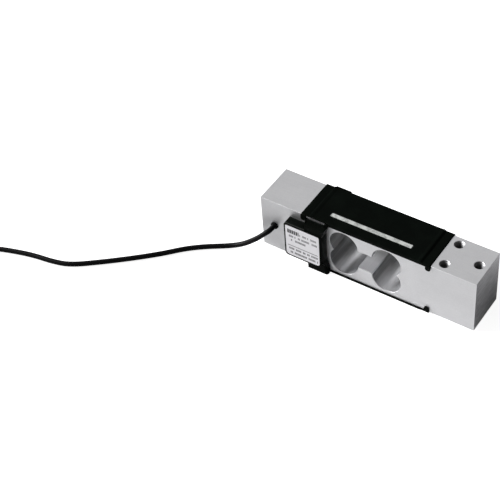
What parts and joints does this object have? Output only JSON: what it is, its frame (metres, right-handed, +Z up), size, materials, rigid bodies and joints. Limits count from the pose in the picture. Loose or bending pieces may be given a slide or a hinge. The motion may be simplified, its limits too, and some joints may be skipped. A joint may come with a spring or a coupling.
{
  "type": "single point load cell",
  "caption": "Single point load cell: an aluminium bending beam with a binocular hole, black moulded covers, a labelled terminal box on its side and a signal cable.",
  "frame": {"origin": "middle of the lower cover's flat underside, under the middle of the beam", "axes": "+X along the beam from the fixed end to the load end, +Z up from the lower cover to the upper one, the terminal housing on the -Y side"},
  "size_m": [0.4071, 0.1461, 0.0425],
  "materials": {
    "aluminium": "satin milled",
    "cover_plastic": "fine moulded grain",
    "housing_plastic": "smooth moulded",
    "label_film": "satin white film",
    "seal_compound": "cured sealing compound",
    "gauge_film": "amber film with foil grid",
    "ribbon_film": "amber flexible ribbon",
    "board_laminate": "coated laminate",
    "chip_body": "ceramic chip",
    "solder": "solder",
    "screw_steel": "zinc plated",
    "gasket_foam": "closed cell foam",
    "bush_rubber": "rubber",
    "cable_jacket": "satin jacket",
    "tie_band": "woven band",
    "sleeve_film": "shrunk sleeve",
    "core_red": "core insulation",
    "core_white": "core insulation",
    "core_green": "core insulation",
    "core_blue": "core insulation",
    "core_shield": "tinned braid",
    "tinned_copper": "tinned strands"
  },
  "bodies": {
    "root": {"beam": "aluminium", "top_cover": "cover_plastic", "bottom_cover": "cover_plastic", "top_seal_strip": "seal_compound", "bottom_seal_strip": "seal_compound", "top_gauge_load_end": "gauge_film", "top_gauge_fixed_end": "gauge_film", "bottom_gauge_load_end": "gauge_film", "bottom_gauge_fixed_end": "gauge_film", "top_gauge_ribbon": "ribbon_film", "bottom_gauge_ribbon": "ribbon_film", "terminal_housing": "housing_plastic", "housing_gasket": "gasket_foam", "housing_screws": "screw_steel", "circuit_board": "board_laminate", "trim_resistors": "chip_body", "solder_joints": "solder", "label": "label_film", "rear_strap": "housing_plastic", "strap_screw": "screw_steel", "cable_bush": "bush_rubber", "inner_cable": "cable_jacket", "inner_cores": "core_white", "cable_run": "cable_jacket", "cable_coil": "cable_jacket", "coil_tie": "tie_band", "cable_tail": "cable_jacket", "lead_sleeve": "sleeve_film", "lead_tips": "tinned_copper", "lead_red": "core_red", "lead_white": "core_white", "lead_green": "core_green", "lead_blue": "core_blue", "lead_shield": "core_shield"}
  },
  "joints": []
}
